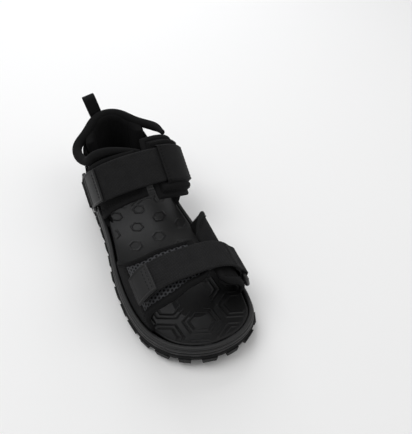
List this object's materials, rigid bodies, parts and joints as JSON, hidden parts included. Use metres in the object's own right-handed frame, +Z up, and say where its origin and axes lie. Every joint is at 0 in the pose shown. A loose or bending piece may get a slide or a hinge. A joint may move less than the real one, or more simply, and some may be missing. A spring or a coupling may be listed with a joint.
{
  "type": "strappy sport sandal",
  "caption": "Black outdoor sport sandal for the right foot with padded upper, ring-anchored hook-and-loop straps and a lugged sole.",
  "frame": {"origin": "centre of the bounding box at the ground, under the tread", "axes": "+Z up, -Y towards the toe, +Y towards the heel, +X towards the inner (medial) side of the foot"},
  "size_m": [0.1092, 0.2912, 0.1036],
  "materials": {
    "outsole_rubber": "matt moulded rubber",
    "midsole_foam": "matt moulded foam",
    "footbed_foam": "satin moulded foam with an embossed hexagon pattern",
    "shank_nylon": "moulded nylon",
    "upper_fabric": "close knitted fabric over padding",
    "lining_fabric": "soft brushed lining",
    "air_mesh": "open honeycomb mesh",
    "ring_plastic": "glossy moulded plastic",
    "webbing": "woven tape",
    "strap_webbing": "fine canvas weave",
    "hook_fabric": "hook tape",
    "loop_fabric": "loop tape",
    "tab_rubber": "satin moulded rubber",
    "pad_fabric": "smooth knitted fabric over foam",
    "sleeve_fabric": "smooth woven fabric"
  },
  "bodies": {
    "sandal": {"outsole": "outsole_rubber", "midsole": "midsole_foam", "shank_plate": "shank_nylon", "footbed": "footbed_foam", "vamp_lateral": "upper_fabric", "vamp_lateral_lining": "lining_fabric", "vamp_mesh": "air_mesh", "vamp_medial": "upper_fabric", "vamp_medial_lining": "lining_fabric", "forefoot_ring_anchor": "webbing", "forefoot_loop_patch": "loop_fabric", "quarter_lateral": "upper_fabric", "quarter_lateral_lining": "lining_fabric", "quarter_medial": "upper_fabric", "quarter_medial_lining": "lining_fabric", "lateral_ring": "ring_plastic", "lateral_ring_anchor": "webbing", "lateral_ring_web": "webbing", "medial_ring_anchor": "webbing", "ankle_loop_patch": "loop_fabric", "heel_counter": "upper_fabric", "heel_pad": "lining_fabric", "heel_strap_lateral": "webbing", "heel_strap_medial": "webbing", "collar_roll": "lining_fabric"},
    "forefoot_ring_body": {"forefoot_ring": "ring_plastic"},
    "forefoot_strap_body": {"forefoot_strap": "strap_webbing", "forefoot_hook_patch": "hook_fabric", "forefoot_tab": "tab_rubber"},
    "medial_ring_body": {"medial_ring": "ring_plastic"},
    "ankle_strap_body": {"ankle_strap": "strap_webbing", "ankle_hook_patch": "hook_fabric", "ankle_tab": "tab_rubber", "instep_pad": "pad_fabric", "pad_sleeve": "sleeve_fabric"},
    "pull_loop_body": {"pull_loop": "webbing"}
  },
  "joints": [
    {"name": "forefoot_ring_swing", "type": "hinge", "parent": "sandal", "child": "forefoot_ring_body", "pos_m": [0.04935, -0.086, 0.03151], "axis": [0, 0.9859, 0.1676], "range_deg": [0, 25]},
    {"name": "forefoot_strap_open", "type": "hinge", "parent": "forefoot_ring_body", "child": "forefoot_strap_body", "pos_m": [0.04715, -0.086, 0.04201], "axis": [0, 0.9859, 0.1676], "range_deg": [0, 110]},
    {"name": "medial_ring_swing", "type": "hinge", "parent": "sandal", "child": "medial_ring_body", "pos_m": [0.05093, 0.05128, 0.04697], "axis": [0, 0.7604, 0.6494], "range_deg": [0, 25]},
    {"name": "ankle_strap_open", "type": "hinge", "parent": "medial_ring_body", "child": "ankle_strap_body", "pos_m": [0.05093, 0.04446, 0.05495], "axis": [0, 0.7604, 0.6494], "range_deg": [0, 110]},
    {"name": "pull_loop_fold", "type": "hinge", "parent": "sandal", "child": "pull_loop_body", "pos_m": [-0.00654, 0.13652, 0.067], "axis": [-1, 0, 0], "range_deg": [0, 70], "stiffness_Nm_per_rad": 0.02}
  ]
}
